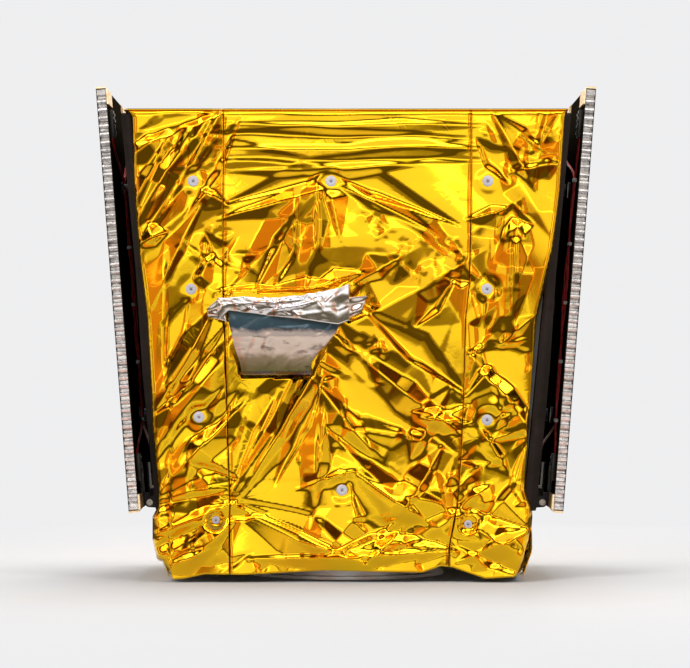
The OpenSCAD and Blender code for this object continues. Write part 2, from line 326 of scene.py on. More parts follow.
def foil_core():
    """Thin bare foil whose tone runs at random between dull grey and bright."""
    s = Shader("core foil", Metallic=0.75, Roughness=0.24)
    place = s.place()
    s.shade(s.noise(place, 90.0, 3.0, 0.6), "Fac", [(0.30, (0.50, 0.50, 0.53)), (0.58, (0.95, 0.94, 0.96))])
    s.bump(s.noise(place, 130.0, 3.0), "Fac", 0.0007, 0.5)
    return s.material


def sensor_film():
    """Silver film with painted reflections, whose tone runs down the housing in stripes: blue-grey, pale, then
    dark over a violet lip.
    """
    s = Shader("sensor film", Metallic=0.55, Roughness=0.16, Coat_Weight=0.6, Coat_Roughness=0.05)
    place = s.place()
    wave = s.noise(s.place(scale=(1, 1, 0.7)), 15.0, 4.0, 0.6, 0.8)
    low, tall = SENSOR_LOW.z, SENSOR_HIGH.z - SENSOR_LOW.z
    wavy = 0.22
    rise = s.math("MULTIPLY_ADD", s.axes(place), "Z", 1 / tall, -low / tall - wavy / 2)
    bent = s.math("MULTIPLY_ADD", wave, "Fac", wavy)
    s.link(rise, "Value", bent, 2)
    # painted reflection: blue-grey, pale and dark reflected tones set into the film's colour by height up the
    # housing
    painted_reflection_bands = s.ramp(bent, "Value", [
        (0.00, (0.20, 0.18, 0.36)), (0.03, (0.08, 0.07, 0.12)), (0.06, (0.10, 0.085, 0.012)),
        (0.20, (0.26, 0.19, 0.12)), (0.27, (0.60, 0.47, 0.40)), (0.50, (0.66, 0.55, 0.49)),
        (0.535, (0.30, 0.26, 0.26)), (0.56, (0.055, 0.10, 0.135)), (0.78, (0.09, 0.15, 0.185))])
    specks = s.noise(s.place(scale=(1, 1, 2.6)), 34.0, 2.0)
    spots = s.ramp(specks, "Fac", [(0.30, (0.45, 0.42, 0.42)), (0.40, (1, 1, 1))])
    s.link(s.mix(painted_reflection_bands, spots), 2, s.surface, "Base Color")
    s.bump(s.noise(place, 22.0, 3.0), "Fac", 0.002, 0.3)
    return s.material


def carbon_skin():
    """Woven carbon under a thin dull resin."""
    s = Shader("carbon skin", Roughness=0.4, Specular_IOR_Level=0.0)
    place = s.place(turn=(0, wings().lean, 0))
    weave = s.node("ShaderNodeTexChecker", Scale=420.0)
    weave.inputs["Color1"].default_value = (0.006, 0.005, 0.003, 1)
    weave.inputs["Color2"].default_value = (0.016, 0.013, 0.008, 1)
    s.link(place, "Vector", weave, "Vector")
    s.link(weave, "Color", s.surface, "Base Color")
    s.bump(s.noise(place, 12.0, 2.0), "Fac", 0.004, 0.3)
    return s.material


def solar_cell():
    """Blue-black cell glass with fine silver fingers and two wider bars."""
    s = Shader("solar cell", Roughness=0.12, Coat_Weight=1.0, Coat_Roughness=0.03)
    place = s.place()
    lines = []
    for direction, scale, low, high in (("Y", 95.0, 0.90, 0.97), ("Z", 7.6, 0.985, 0.995)):
        wave = s.node("ShaderNodeTexWave", bands_direction=direction, Scale=scale)
        s.link(place, "Vector", wave, "Vector")
        lines.append(s.ramp(wave, "Fac", [(low, 0.0), (high, 1.0)]))
    glass = s.ramp(s.noise(place, 9.0, 2.0), "Fac",
                   [(0.35, (0.010, 0.014, 0.050)), (0.65, (0.018, 0.030, 0.095))])
    final = s.mix(glass, (0.30, 0.32, 0.36, 1), blend="MIX")
    s.link(s.mix(*lines, blend="LIGHTEN"), 2, final, 0)
    s.link(final, 2, s.surface, "Base Color")
    return s.material


def cream_plastic():
    s = Shader("cream laminate", Roughness=0.45)
    grain = s.noise(s.place(scale=(1, 1, 6)), 60.0, 3.0)
    s.shade(grain, "Fac", [(0.3, (0.62, 0.42, 0.20)), (0.7, (0.88, 0.72, 0.50))])
    s.bump(grain, "Fac", 0.0004, 0.4)
    return s.material


def plain_coat(name, dark, light, roughness, scale=30.0):
    s = Shader(name, Roughness=roughness)
    s.shade(s.noise(s.place(), scale, 3.0), "Fac", [(0.3, dark), (0.7, light)])
    return s.material


_made = {}


def finish(kind):
    """Each finish is made once and shared."""
    makers = {
        "gold_film": gold_film,
        "silver_film": silver_film,
        "sensor_film": sensor_film,
        "black_film": black_film,
        "honeycomb": foil_core,
        "carbon_skin": carbon_skin,
        "solar_cell": solar_cell,
        "cream_plastic": cream_plastic,
        "machined_metal": lambda: machined_metal("machined metal", (0.74, 0.74, 0.76)),
        # a near-black metal, also given to the hinge brackets and leaves in place of their listed finish
        "dark_metal": lambda: machined_metal("near-black metal", (0.05, 0.05, 0.055), 0.4),
        "pin_steel": lambda: machined_metal("pin steel", (0.62, 0.61, 0.60), 0.22),
        "button": lambda: plain_coat("button", (0.36, 0.34, 0.38), (0.50, 0.48, 0.52), 0.42),
        "button_pin": lambda: plain_coat("button pin", (0.10, 0.10, 0.12), (0.2, 0.2, 0.22), 0.3),
        "wall_panel": lambda: plain_coat("wall panel", (0.012, 0.012, 0.013), (0.03, 0.03, 0.032), 0.4),
        "equipment": lambda: plain_coat("equipment", (0.22, 0.22, 0.23), (0.3, 0.3, 0.31), 0.6),
        "red_wire": lambda: plain_coat("red wire", (0.34, 0.010, 0.012), (0.62, 0.035, 0.030), 0.3, 80.0),
        "connector": lambda: plain_coat("connector", (0.012, 0.012, 0.012), (0.03, 0.028, 0.026), 0.35),
        "tie": lambda: plain_coat("wire tie", (0.66, 0.64, 0.60), (0.82, 0.80, 0.76), 0.5),
    }
    if kind not in _made:
        _made[kind] = makers[kind]()
    return _made[kind]


# ---------- building pieces ----------


def put_in_scene(name, bm):
    """Turns a bmesh into an object at the origin."""
    mesh = bpy.data.meshes.new(name)
    bm.to_mesh(mesh)
    bm.free()
    made = bpy.data.objects.new(name, mesh)
    bpy.context.scene.collection.objects.link(made)
    return made


def add_piece(name, bm, kind, body, smooth=True):
    """Turns a bmesh into a piece, with its finish in a material slot, and its body."""
    piece = put_in_scene(name, bm)
    piece.data.materials.append(finish(kind))
    for face in piece.data.polygons:
        face.use_smooth = smooth
    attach(piece, body)
    return piece


def film_grid(width, height, step):
    """A flat grid over the unit square, with steps of about one size."""
    bm = bmesh.new()
    bmesh.ops.create_grid(
        bm,
        x_segments=max(2, round(width / step)),
        y_segments=max(2, round(height / step)),
        size=0.5,
        matrix=Matrix.Translation((0.5, 0.5, 0)),
    )
    return bm


def grid_places(bm):
    """The grid's vertices as two arrays, each from 0 to 1."""
    bm.verts.ensure_lookup_table()
    places = np.array([v.co[:2] for v in bm.verts])
    return places[:, 0], places[:, 1]


def move_grid(bm, x, y, z):
    for vertex, px, py, pz in zip(bm.verts, x, y, z):
        vertex.co = (px, py, pz)


def look_towards(bm, direction):
    """Turns all faces over if most of them look the other way."""
    bm.normal_update()
    if sum(f.normal.dot(direction) for f in bm.faces) < 0:
        bmesh.ops.reverse_faces(bm, faces=bm.faces)


def thicken(piece, thickness):
    """Gives a film its thickness, behind its outer face."""
    solid = piece.modifiers.new("thickness", "SOLIDIFY")
    solid.thickness = thickness
    solid.offset = -1.0


# ---------- creases ----------
# A fold is [across, up, angle, length, width, height, apex]: the middle of a kite with flat facets, in
# millimetres and degrees, and the apex's place along it from -1 to 1. A negative height is a hollow.

FRONT_FOLDS = [
    # upper band, folds along the top edge
    [0, 915, 0, 560, 20, 4, 0.3],
    [-10, 893, -0.8, 520, 36, -8, -0.2],
    [0, 868, 0.5, 540, 26, 5, 0.4],
    [10, 846, 0, 560, 30, -5, 0.0],
    [-60, 826, 2, 420, 22, 4, 0.3],
    # fan from the upper middle button
    [-140, 790, 19, 230, 30, -9, 0.5],
    [-150, 757, 17, 240, 36, 9, 0.4],
    [108, 765, -22, 270, 34, -11, -0.4],
    [90, 742, -26, 230, 26, 5, -0.3],
    [-70, 690, 83, 230, 62, 11, 0.3],
    [-140, 665, 63, 190, 36, -10, 0.2],
    [-110, 660, 66, 170, 26, 7, 0.3],
    [-24, 740, 100, 120, 30, 6, 0.4],
    # between the housing's right end and the right seam
    [180, 565, 50, 130, 34, -10, -0.2],
    [225, 607, -10, 60, 30, -7, 0.2],
    [136, 463, -39, 270, 38, -10, 0.0],
    [60, 620, 30, 110, 34, 8, 0.0],
    [22, 560, 70, 90, 40, -9, 0.1],
    [95, 400, -38, 330, 60, 12, 0.2],
    [40, 372, -33, 260, 52, -13, 0.1],
    [20, 455, -60, 160, 40, -8, 0.2],
    # gathered above the collar
    [-196, 586, 4, 130, 20, 16, 0.2],
    [-90, 588, 2, 170, 20, 14, 0.1],
    [-20, 602, 16, 110, 22, 14, 0.0],
    # below the housing
    [-150, 330, 62, 330, 46, -9, 0.2],
    [-120, 320, 60, 330, 26, 8, 0.3],
    [-92, 300, 66, 240, 30, -9, 0.1],
    [-182, 280, 66, 220, 24, 6, 0.2],
    [-52, 260, 86, 190, 40, 10, -0.2],
    [-8, 330, -52, 190, 46, 9, 0.3],
    # around the lower middle button
    [70, 235, -33, 270, 70, -16, 0.3],
    [88, 170, -36, 190, 34, 9, 0.2],
    [34, 150, -62, 180, 40, -11, 0.3],
    [-40, 205, 20, 130, 22, 5, 0.4],
    [160, 300, 58, 200, 40, 10, 0.2],
    [118, 270, 80, 150, 36, -10, -0.4],
    [190, 350, 4, 120, 34, -9, 0.3],
    [200, 322, -8, 110, 26, 7, 0.0],
    [150, 200, 58, 170, 34, 8, 0.0],
    # lower hem
    [-130, 118, -24, 280, 36, -10, 0.3],
    [-60, 82, -24, 250, 30, 8, 0.5],
    [30, 90, 26, 160, 36, -12, 0.2],
    [76, 70, 44, 120, 34, 12, 0.0],
    [120, 95, -16, 220, 40, -9, 0.1],
    [-200, 132, 5, 90, 20, -6, 0.0],
    [0, 52, 2, 420, 26, 7, 0.0],
]

BROAD_FOLDS = [
    # wide, shallow facets that the smaller folds stand on
    [-60, 850, 4, 620, 150, 9, 0.2],
    [-130, 700, 50, 330, 130, 10, 0.1],
    [150, 690, -35, 330, 140, 9, 0.0],
    [150, 590, 30, 320, 120, 6, 0.2],
    [60, 380, -38, 420, 130, -14, 0.1],
    [-140, 290, 58, 360, 120, 11, 0.0],
    [-30, 240, 74, 300, 90, -9, 0.1],
    [130, 200, -40, 360, 130, 14, 0.2],
    [150, 120, 24, 240, 90, -10, 0.0],
    [-100, 110, -20, 360, 100, 12, 0.3],
    [-345, 760, 58, 360, 120, 12, 0.2],
    [-330, 520, 72, 330, 120, -12, 0.0],
    [-300, 380, 56, 320, 110, 12, 0.1],
    [-310, 210, 40, 260, 110, -12, 0.0],
    [-300, 90, 24, 220, 90, 11, 0.2],
    [350, 800, -60, 300, 120, -6, 0.0],
    [330, 640, 80, 260, 110, 12, 0.3],
    [300, 470, 60, 240, 100, -11, 0.0],
    [310, 380, -50, 240, 110, 15, 0.1],
    [300, 220, 55, 260, 100, -10, 0.0],
    [290, 90, -30, 240, 90, 12, 0.0],
]

LEFT_FOLDS = [
    [-296, 862, 59, 300, 44, 13, 0.1],
    [-338, 806, 59, 320, 54, -14, 0.0],
    [-374, 800, 60, 260, 40, 13, 0.2],
    [-266, 828, 60, 220, 34, -9, 0.0],
    [-404, 800, 64, 200, 36, 10, 0.1],
    [-396, 880, 36, 150, 40, 10, 0.0],
    [-372, 905, 24, 170, 34, -8, 0.2],
    [-320, 925, 12, 210, 26, -6, 0.2],
    [-398, 684, 20, 90, 34, 12, 0.3],
    [-270, 770, -30, 90, 26, 6, 0.0],
    [-345, 640, 64, 250, 28, 7, 0.2],
    [-262, 660, -60, 90, 26, -7, 0.0],
    [-290, 610, 58, 120, 24, 6, 0.0],
    [-352, 470, 68, 200, 34, -10, 0.3],
    [-322, 440, 60, 260, 30, 11, 0.2],
    [-285, 440, 58, 180, 26, -9, 0.2],
    [-355, 360, 40, 120, 26, -9, 0.2],
    [-290, 270, 47, 250, 50, 14, 0.0],
    [-325, 300, 50, 230, 36, -12, 0.1],
    [-250, 330, 60, 120, 26, -8, 0.0],
    [-262, 225, -20, 110, 26, -9, 0.0],
    [-330, 165, 12, 180, 28, -9, 0.3],
    [-300, 130, 20, 200, 32, 10, 0.2],
    [-330, 98, 26, 160, 26, -8, 0.0],
    [-275, 78, 40, 140, 34, 9, 0.2],
    [-322, 48, 20, 150, 26, 8, 0.0],
]

RIGHT_FOLDS = [
    [330, 870, -62, 200, 34, 9, 0.3],
    [290, 845, -54, 110, 34, -11, 0.0],
    [390, 880, 76, 170, 36, 5, -0.4],
    [350, 900, -40, 120, 26, 4, 0.0],
    [410, 905, 60, 100, 26, -3, 0.0],
    [372, 828, 8, 110, 26, 5, 0.5],
    [285, 738, 14, 90, 30, 9, 0.2],
    [312, 690, 70, 130, 46, -14, 0.6],
    [340, 716, -55, 70, 26, 8, 0.2],
    [322, 590, 86, 250, 46, 12, 0.2],
    [276, 560, 84, 120, 26, -8, 0.3],
    [275, 500, 62, 110, 30, -9, 0.0],
    [300, 470, 12, 120, 26, 8, 0.1],
    [340, 500, 40, 90, 26, 8, 0.0],
    [322, 405, -52, 190, 60, -15, -0.2],
    [268, 400, 50, 110, 34, 8, 0.2],
    [345, 300, 20, 130, 36, 9, 0.5],
    [300, 262, -58, 130, 30, 9, 0.2],
    [262, 240, 0, 70, 26, -7, 0.0],
    [318, 200, 60, 190, 40, -10, 0.0],
    [262, 176, 34, 110, 26, 7, 0.0],
    [300, 130, -18, 130, 30, -8, 0.0],
    [300, 76, 24, 170, 34, 9, 0.2],
    [290, 46, -24, 150, 30, -8, 0.0],
]

# Long strips that face sideways: [edge, width, rise, lower end, upper end], in metres.
ROLLS = [
    (-0.406, 0.046, 0.0080, 0.31, 0.70),
    (0.276, 0.060, 0.0145, 0.46, 0.74),
    (-0.098, 0.040, 0.0086, 0.60, 0.80),
    (-0.092, 0.036, 0.0074, 0.15, 0.34),
    (-0.358, 0.044, 0.0080, 0.14, 0.31),
]

# Half-widths of a fold's two sides, as shares of half its width.
GENTLE, STEEP = 1.7, 0.75

# Patches of fine crumpling: [across, up, radius across, radius up, how many creases, how high].
FRONT_PATCHES = [
    [-335, 905, 95, 50, 12, 2.2],
    [345, 885, 85, 70, 24, 1.4],
    [160, 660, 80, 45, 26, 1.5],
    [60, 720, 26, 36, 8, 1.6],
    [-240, 640, 60, 70, 12, 3.0],
    [265, 330, 60, 60, 8, 3.4],
    [-320, 90, 70, 60, 5, 3.5],
    [270, 160, 90, 90, 8, 3.6],
    [330, 50, 60, 40, 5, 3.6],
    [30, 440, 70, 50, 10, 4.0],
    [-200, 50, 150, 30, 6, 3.4],
    [150, 60, 90, 30, 5, 3.6],
]


def kite(u, v, fold, lean):
    """One fold's height over the film, in metres: gentle on one side of its crest, steep on the other."""
    across, up, angle, length, width, height, apex = fold
    c, s = math.cos(math.radians(angle)), math.sin(math.radians(angle))
    du, dv = u - across / 1000, v - up / 1000
    along = (du * c + dv * s) / (length / 2000) - apex
    side = (-du * s + dv * c) / (width / 2000) * lean
    along = np.where(along > 0, along / (1 - apex), along / (1 + apex))
    side = np.where(side > 0, side / GENTLE, side / STEEP)
    return height / 1000 * np.clip(1 - np.abs(along) - np.abs(side), 0, None)


def random_folds(seed, count, middle, spread, length, width, height):
    """Folds scattered in an ellipse, all sizes in millimetres."""
    rng = np.random.default_rng(seed)
    folds = []
    for _ in range(count):
        turn, reach = rng.uniform(0, 2 * math.pi), math.sqrt(rng.uniform(0, 1))
        folds.append([
            middle[0] + spread[0] * reach * math.cos(turn),
            middle[1] + spread[1] * reach * math.sin(turn),
            rng.uniform(0, 180),
            rng.uniform(*length),
            rng.uniform(*width),
            height * rng.uniform(0.4, 1.0) * rng.choice([-1, 1]),
            rng.uniform(-0.6, 0.6)])
    return folds


def warp(u, v):
    """Bends straight lines a little, as creases in thin film are never quite straight."""
    a = 0.0025 * np.sin(17 * v + 9 * u) + 0.0003 * np.sin(61 * v - 23 * u + 1.3)
    b = 0.0025 * np.sin(19 * u - 7 * v + 2.1) + 0.0003 * np.sin(57 * u + 31 * v)
    return u + a, v + b


def crumple(u, v, folds):
    """The sum of all folds; most of them turn their gentle side down."""
    wu, wv = warp(u, v)
    rng = np.random.default_rng(3)
    height = np.zeros_like(u)
    for fold in folds:
        lean = -math.copysign(1, fold[5]) * rng.choice([1, 1, -1])
        height += kite(wu, wv, fold, lean)
    return height


def roll(u, v, edge, width, rise, low, high):
    """A long strip that slopes up from its edge and then eases back slowly."""
    starts, ends, ease = 0.07, 0.11, 0.15
    inside = (u - edge) / width
    window = np.clip((v - low) / starts, 0, 1) * np.clip((high - v) / ends, 0, 1)
    return rise * window * np.where(inside < 1, np.clip(inside, 0, 1), np.exp(-(inside - 1) * width / ease))


def calm_on_rolls(u, v):
    """How much of the other folds is kept: little on the rolls, so that they stay smooth."""
    kept = 1
    for edge, width, _, low, high in ROLLS:
        inside = (u - edge) / width
        on_it = np.clip(4 * inside + 0.5, 0, 1) * np.clip(4.5 - 4 * inside, 0, 1)
        kept = kept * (1 - 0.85 * on_it * np.clip(12 * (v - low), 0, 1) * np.clip(12 * (high - v), 0, 1))
    return kept


def off_the_wall(height):
    """Hollows flatten out before they reach the wall."""
    low, floor = 0.0045, 0.0015
    flattened = floor + (low - floor) * np.exp(np.minimum(height - low, 0) / (low - floor))
    return np.where(height < low, flattened, height)


def swell(u, v):
    """The film's slow rise and fall between its folds."""
    return 0.0007 * (np.sin(31 * u + 4 * np.sin(9 * v)) + np.sin(27 * v - 3 * np.sin(13 * u) + 1.0))


def press(height, u, v, buttons, level):
    """Pulls the film down to one level round each button."""
    for bu, bv, radius in buttons:
        reach = np.hypot(u - bu, v - bv) / (radius + 0.001)
        near = np.clip((2.6 - reach) / 1.5, 0, 1)
        near = near * near * (3 - 2 * near)
        height = height * (1 - near) + level * near
    return height


# ---------- blankets ----------

# The front film's outer edges, [height, left edge, right edge], in millimetres.
FRONT_EDGES = [
    [0, -352, 340],
    [20, -374, 350],
    [44, -380, 360],
    [84, -388, 370],
    [130, -388, 374],
    [150, -378, 373],
    [186, -378, 362],
    [300, -390, 369],
    [420, -396, 377],
    [524, -402, 386],
    [664, -418, 418],
    [784, -428, 432],
    [930, -432, 442],
    [950, -442, 446],
]
# Seams between the three strips, [height, left seam, right seam], in millimetres.
FRONT_SEAMS = [
    [0, -233, 206],
    [74, -234, 208],
    [154, -233, 223],
    [240, -236, 230],
    [346, -239, 235],
    [524, -245, 240],
    [598, -247, 248],
    [736, -247, 251],
    [950, -246, 251],
]
# The ragged lower hem, [across, height], in millimetres.
FRONT_HEM = [
    [-400, 46],
    [-354, 40],
    [-346, 6],
    [-322, 8],
    [-282, 17],
    [-204, 16],
    [-40, 24],
    [16, 23],
    [152, 20],
    [190, 33],
    [214, 30],
    [242, 20],
    [278, 8],
    [346, 12],
    [400, 20],
]


def columns(table):
    return [np.array(column) / 1000 for column in zip(*table)]


def button_places(face):
    """The middle and radius of each button on the front or rear, from the CAD node."""
    node = frame["nodes"]["blanket_buttons"]
    bm = bmesh.new()
    bm.from_mesh(node.data)
    bmesh.ops.remove_doubles(bm, verts=bm.verts, dist=1e-5)
    found = []
    todo = set(bm.verts)
    while todo:
        group, edge = [], [todo.pop()]
        while edge:
            vertex = edge.pop()
            group.append(vertex.co.copy())
            for link in vertex.link_edges:
                other = link.other_vert(vertex)
                if other in todo:
                    todo.discard(other)
                    edge.append(other)
        low = Vector([min(p[i] for p in group) for i in range(3)])
        high = Vector([max(p[i] for p in group) for i in range(3)])
        if (low.y < 0) == (face == "front"):
            found.append(((low.x + high.x) / 2, (low.z + high.z) / 2, (high.x - low.x) / 2))
    bm.free()
    return sorted(found)


def sensor_cover(u, v):
    """1 where the sensor housing stands on the film."""
    inside = (v > SENSOR_LOW.z - 0.004) & (v < SENSOR_HIGH.z + 0.004)
    middle = (SENSOR_LOW.x + SENSOR_HIGH.x) / 2 + np.interp(v, [SENSOR_LOW.z, SENSOR_HIGH.z], [-0.02, 0.0])
    half = np.interp(v, [SENSOR_LOW.z, SENSOR_HIGH.z], [0.072, 0.113])
    return inside & (np.abs(u - middle) < half)


def face_folds(face):
    """All creases of the front or rear film: broad ones, then patches of finer ones, then a few anywhere."""
    if face == "front":
        seed, side = 11, 1
        folds = BROAD_FOLDS + [
            [across, up, turn, 1.1 * long, 1.4 * wide, 1.25 * high, apex]
            for across, up, turn, long, wide, high, apex in FRONT_FOLDS + LEFT_FOLDS + RIGHT_FOLDS]
    else:
        seed, side = 23, -1
        folds = [[-f[0], f[1], -f[2], f[3], f[4], f[5], -f[6]] for f in LEFT_FOLDS + RIGHT_FOLDS]
        folds += random_folds(77, 34, (0, 480), (240, 440), (150, 380), (40, 84), 9)
        folds += random_folds(78, 22, (0, 480), (400, 440), (240, 420), (90, 150), 10)
    for index, (across, up, wide, tall, count, height) in enumerate(FRONT_PATCHES):
        middle = (side * across, up)
        folds = folds + random_folds(seed + index, count, middle, (wide, tall), (36, 100), (16, 34), height)
    return folds + random_folds(seed + 40, 30, (0, 480), (430, 480), (60, 190), (18, 40), 1.5)


def face_strip(face, strip):
    """One of the three film strips on the front or the rear."""
    tall, turned_in = 0.95, 0.03
    z_edge, left_edge, right_edge = columns(FRONT_EDGES)
    z_seam, left_seam, right_seam = columns(FRONT_SEAMS)
    hem_x, hem_z = columns(FRONT_HEM)
    bm = film_grid(0.5 if strip == "centre" else 0.2, tall, blankets().step)
    a, b = grid_places(bm)
    v = tall * b
    low, high = {
        "left": (left_edge, left_seam),
        "centre": (left_seam, right_seam),
        "right": (right_seam, right_edge),
    }[strip]
    z_low = z_edge if strip == "left" else z_seam
    z_high = z_edge if strip == "right" else z_seam
    side = 1 if face == "front" else -1
    # the hem's height depends on the place across and the edges on the height, so they are found in turns
    for _ in range(2):
        u0 = np.interp(v, z_low, low)
        u1 = np.interp(v, z_high, high)
        u = u0 + (u1 - u0) * a
        bottom = np.interp(u, hem_x, hem_z)
        v = bottom + (ROOF_Z - 0.001 - bottom) * b
    # the film stands this far off the wall where it is smooth, and flares towards its hem
    off_wall, flare, flare_top = 0.007, 0.015, 0.20
    height = off_wall + swell(side * u, v)
    height += calm_on_rolls(side * u, v) * crumple(side * u, v, face_folds(face))
    height += sum(roll(side * u, v, *strip_roll) for strip_roll in ROLLS)
    height += flare * np.clip((flare_top - v) / flare_top, 0, 1) * (1 + 0.3 * np.sin(21 * u))
    height = off_the_wall(height)
    buttons = [(side * bu, bv, br) for bu, bv, br in button_places(face)]
    height = press(height, u, v, buttons, FILM - 0.0008)
    # the centre strip tucks in at its seams
    if strip == "centre":
        seam_near = np.maximum(np.clip(1 - (u - u0) / 0.006, 0, 1), np.clip(1 - (u1 - u) / 0.006, 0, 1))
        height = height * (1 - 0.22 * seam_near)
    height = np.where(sensor_cover(u, v) & (face == "front"), 0.001, height)
    # it wraps round the body's corners and over its top edge
    tuck = np.clip(1 - (ROOF_Z - v) / 0.014, 0, 1)
    if strip != "centre":
        from_edge = u - u0 if strip == "left" else u1 - u
        tuck = np.maximum(np.clip(1 - from_edge / 0.012, 0, 1), tuck)
    height = height * (1 - tuck) + 0.004 * tuck - 0.016 * tuck**3
    move_grid(bm, side * u, FRONT_Y - height if face == "front" else REAR_Y + height, v)
    look_towards(bm, Vector((0, -side, 0)))
    piece = add_piece(f"{face}_film_{strip}", bm, "gold_film", "bus")
    thicken(piece, blankets().thickness)
    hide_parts(f"{face}_blanket_{strip}")


class SATELLITE_OT_face_blankets(bpy.types.Operator):
    """Make the three gold film strips on the front and the three on the rear."""

    bl_idname = "satellite.face_blankets"
    bl_label = "Front and rear blankets"

    def execute(self, context):
        for face in ("front", "rear"):
            for strip in ("left", "centre", "right"):
                face_strip(face, strip)
        return {"FINISHED"}


# How far a smooth film stands off a flat face.
SMOOTH = 0.003


def from_edges(u, v, size):
    """The distance to the nearest edge of a rectangle."""
    return np.minimum(np.minimum(u, size[0] - u), np.minimum(v, size[1] - v))


def plane_film(name, kind, size, place, folds, node, outward, step):
    """A film over a flat face of the body: place turns (across, up, height) arrays into x, y, z."""
    bm = film_grid(*size, step)
    a, b = grid_places(bm)
    u, v = a * size[0], b * size[1]
    tuck = np.clip(1 - from_edges(u, v, size) / 0.012, 0, 1)
    height = off_the_wall(SMOOTH + crumple(u, v, folds)) * (1 - 0.7 * tuck**2)
    move_grid(bm, *place(u, v, height))
    look_towards(bm, Vector(outward))
    piece = add_piece(name, bm, kind, "bus")
    thicken(piece, blankets().thickness)
    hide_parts(node)


class SATELLITE_OT_other_blankets(bpy.types.Operator):
    """Make the roof film, the black side films and the gold side skirts."""

    bl_idname = "satellite.other_blankets"
    bl_label = "Roof, side and skirt blankets"

    def execute(self, context):
        self.roof()
        for side, word in ((-1, "left"), (1, "right")):
            self.side_film(side, word)
            self.skirt(side, word)
        return {"FINISHED"}

    def roof(self):
        low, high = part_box("top_blanket")
        inset = 0.003
        size = (high.x - low.x - 2 * inset, high.y - low.y - 2 * inset)
        middle = (size[0] * 500, size[1] * 500)
        folds = random_folds(5, 44, middle, (430, 250), (120, 340), (26, 60), 7)
        folds += random_folds(6, 120, middle, (430, 260), (30, 90), (8, 22), 2.2)

        def place(u, v, h):
            level = DECK_Z + 0.0045 + (h - SMOOTH) * np.clip(from_edges(u, v, size) / 0.10, 0.12, 1)
            return low.x + inset + u, low.y + inset + v, level

        plane_film("roof_film", "gold_film", size, place, folds, "top_blanket", (0, 0, 1), 0.005)

    def side_film(self, side, word):
        low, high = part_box(f"{word}_side_blanket")
        size = (high.y - low.y - 0.002, high.z - low.z - 0.004)
        middle = (size[0] * 500, size[1] * 500)
        folds = random_folds(31 + side, 40, middle, (250, 400), (100, 260), (26, 60), 5)
        folds += random_folds(35 + side, 90, middle, (250, 400), (30, 80), (8, 20), 1.6)

        def place(u, v, h):
            z = SIDE_HEM_Z + 0.002 + v
            from_end = np.minimum(u, size[0] - u)
            edge, end = np.minimum(from_end / 0.05, 1), np.minimum(from_end / 0.004, 1)
            low_bulge = 0.006 * np.clip((0.62 - z) / 0.2, 0, 1)
            out = 0.002 + end * (SIDE_FILM * (0.82 + 0.1 * edge**0.5) + low_bulge + 0.7 * (h - SMOOTH))
            return side * (half_at(z) + out), low.y + 0.001 + u, z

        plane_film(f"{word}_side_film", "black_film", size, place, folds,
                   f"{word}_side_blanket", (side, 0, 0), 0.006)

    def skirt(self, side, word):
        low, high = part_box(f"{word}_skirt")
        below = 0.012
        size = (high.y - low.y, high.z - low.z + below)
        middle = (size[0] * 500, 60)
        folds = random_folds(51 + side, 30, middle, (250, 60), (60, 160), (20, 44), 6)
        folds += random_folds(55 + side, 50, middle, (250, 60), (24, 60), (8, 18), 2.4)

        def place(u, v, h):
            z = low.z - below + 0.004 * np.sin(40 * u) * (1 - v / size[1]) + v
            shape = np.interp(z, [0.0, 0.03, 0.06, 0.10, 0.128, 0.14],
                              [0.012, 0.018, 0.026, 0.022, 0.014, 0.002])
            return side * (half_at(z) + shape + 0.7 * h), low.y + u, z

        plane_film(f"{word}_skirt_film", "gold_film", size, place, folds,
                   f"{word}_skirt", (side, 0, 0), 0.004)


class SATELLITE_OT_buttons(bpy.types.Operator):
    """Make the round retainers that hold the blankets."""

    bl_idname = "satellite.buttons"
    bl_label = "Blanket buttons"

    def execute(self, context):
        bm = bmesh.new()
        pins = bmesh.new()
        pin = [(0, 0), (0.0022, 0), (0.0022, 0.0012), (0.0014, 0.0016), (0, 0.0016)]
        for face, side in (("front", -1), ("rear", 1)):
            base = FILM_Y if face == "front" else REAR_Y + FILM
            for x, z, radius in button_places(face):
                disc = [(0, 0), (radius, 0), (radius, 0.0012), (radius - 0.0012, 0.0022),
                        (0.0045, 0.0024), (0.0035, 0.0014), (0, 0.0014)]
                self.turned(bm, x, base, z, side, disc)
                self.turned(pins, x, base + side * 0.0014, z, side, pin)
        discs = add_piece("film_buttons", bm, "button", "bus")
        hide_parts("blanket_buttons")
        discs.modifiers.new("edge", "EDGE_SPLIT").split_angle = math.radians(40)
        add_piece("button_pins", pins, "button_pin", "bus")
        return {"FINISHED"}

    def turned(self, bm, x, y, z, side, profile):
        """A turned piece whose profile is (radius, height) pairs."""
        middle, reach = Vector((x, y, z)), 0.02
        verts = [bm.verts.new((x + r, y + side * h, z)) for r, h in profile]
        edges = [bm.edges.new(pair) for pair in zip(verts, verts[1:])]
        bmesh.ops.spin(bm, geom=verts + edges, cent=middle, axis=(0, 1, 0), angle=2 * math.pi,
                       steps=28, use_merge=True)
        new = {v for v in bm.verts if (v.co - middle).length < reach}
        bmesh.ops.remove_doubles(bm, verts=list(new), dist=1e-6)
        near = [f for f in bm.faces if (f.calc_center_median() - middle).length < reach]
        bmesh.ops.recalc_face_normals(bm, faces=near)


# ---------- sensor ----------

# The housing's sides, [height, left side, right side], in millimetres.
HOUSING_SIDES = [
    [414, -209, -68],
    [440, -214, -66],
    [460, -221, -52],
    [472, -225, -38],
    [500, -231, -16],
    [520, -236, -8],
    [578, -238, -5],
]
# The collar from left to right, [across, top edge, lower edge], in millimetres.
COLLAR_EDGES = [
    [-254, 566, 522],
    [-232, 567, 542],
    [-148, 567, 531],
    [-90, 574, 525],
    [-62, 579, 521],
    [-16, 588, 514],
    [6, 594, 522],
]
# The collar's two ears, each four corners in millimetres.
COLLAR_EARS = [
    [(4, -318, 526), (30, -306, 537), (43, -300, 572), (4, -322, 568)],
    [(-275, -304, 529), (-236, -330, 520), (-250, -326, 568), (-277, -300, 546)],
]


